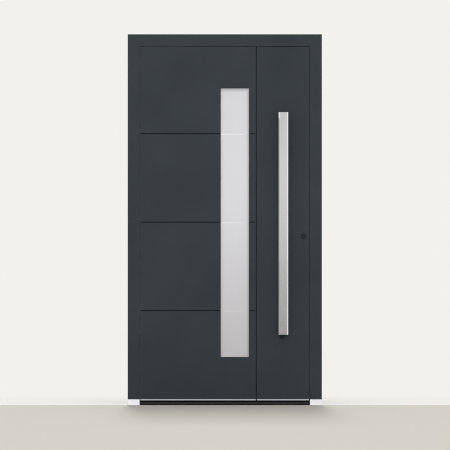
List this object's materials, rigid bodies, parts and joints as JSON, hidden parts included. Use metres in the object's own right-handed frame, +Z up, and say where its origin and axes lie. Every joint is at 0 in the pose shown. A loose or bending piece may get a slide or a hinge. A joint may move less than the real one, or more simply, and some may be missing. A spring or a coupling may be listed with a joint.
{
  "type": "aluminium entrance door",
  "caption": "Aluminium entrance door with a flush leaf, a narrow upright satin glass light, level grooves and a long pull bar, hung in a frame with a low threshold.",
  "frame": {"origin": "on the floor, at the middle of the frame's width and depth, on the threshold's underside", "axes": "+X to the right seen from outside, +Y inwards, +Z up"},
  "size_m": [1.1, 0.21, 2.1],
  "materials": {
    "anthracite_coat": "fine-texture powder coat",
    "black_polymer": "matt",
    "dark_metal": "satin dark coat",
    "white_block": "matt white",
    "silver_aluminium": "natural anodised",
    "satin_glass": "satin etched",
    "stainless_steel": "brushed lengthwise",
    "cylinder_metal": "dark satin",
    "grey_rubber": "matt"
  },
  "bodies": {
    "frame": {"outer_hinge_jamb": "anthracite_coat", "outer_lock_jamb": "anthracite_coat", "outer_head": "anthracite_coat", "break_hinge_jamb": "black_polymer", "break_lock_jamb": "black_polymer", "break_head": "black_polymer", "inner_hinge_jamb": "anthracite_coat", "inner_lock_jamb": "anthracite_coat", "inner_head": "anthracite_coat", "jamb_feet": "white_block", "threshold_base": "black_polymer", "threshold_nosing": "dark_metal", "strike_plates": "stainless_steel", "frame_hinge_lower": "stainless_steel", "frame_hinge_middle": "stainless_steel", "frame_hinge_upper": "stainless_steel"},
    "leaf": {"facing_field": "anthracite_coat", "facing_strip": "anthracite_coat", "inside_facing": "anthracite_coat", "hinge_stile": "anthracite_coat", "lock_stile": "anthracite_coat", "top_rail": "anthracite_coat", "bottom_rail": "anthracite_coat", "joint_profile": "anthracite_coat", "glazing_bead": "anthracite_coat", "cylinder_rosette": "dark_metal", "pull_post_lower": "dark_metal", "pull_post_upper": "dark_metal", "drip_strips": "silver_aluminium", "glass_spacers": "silver_aluminium", "glass_outer_pane": "satin_glass", "glass_middle_pane": "satin_glass", "glass_inner_pane": "satin_glass", "pull_bar": "stainless_steel", "inside_lever": "stainless_steel", "lever_rosette": "stainless_steel", "inside_cylinder_rosette": "stainless_steel", "lock_faceplate": "stainless_steel", "lock_bolts": "stainless_steel", "leaf_hinge_lower": "stainless_steel", "leaf_hinge_middle": "stainless_steel", "leaf_hinge_upper": "stainless_steel", "lock_cylinder": "cylinder_metal", "leaf_gasket": "grey_rubber", "bottom_seal": "grey_rubber"}
  },
  "joints": [
    {"name": "leaf_swing", "type": "hinge", "parent": "frame", "child": "leaf", "pos_m": [-0.5025, 0.054, 0], "axis": [0, 0, 1], "range_deg": [0, 105]}
  ]
}
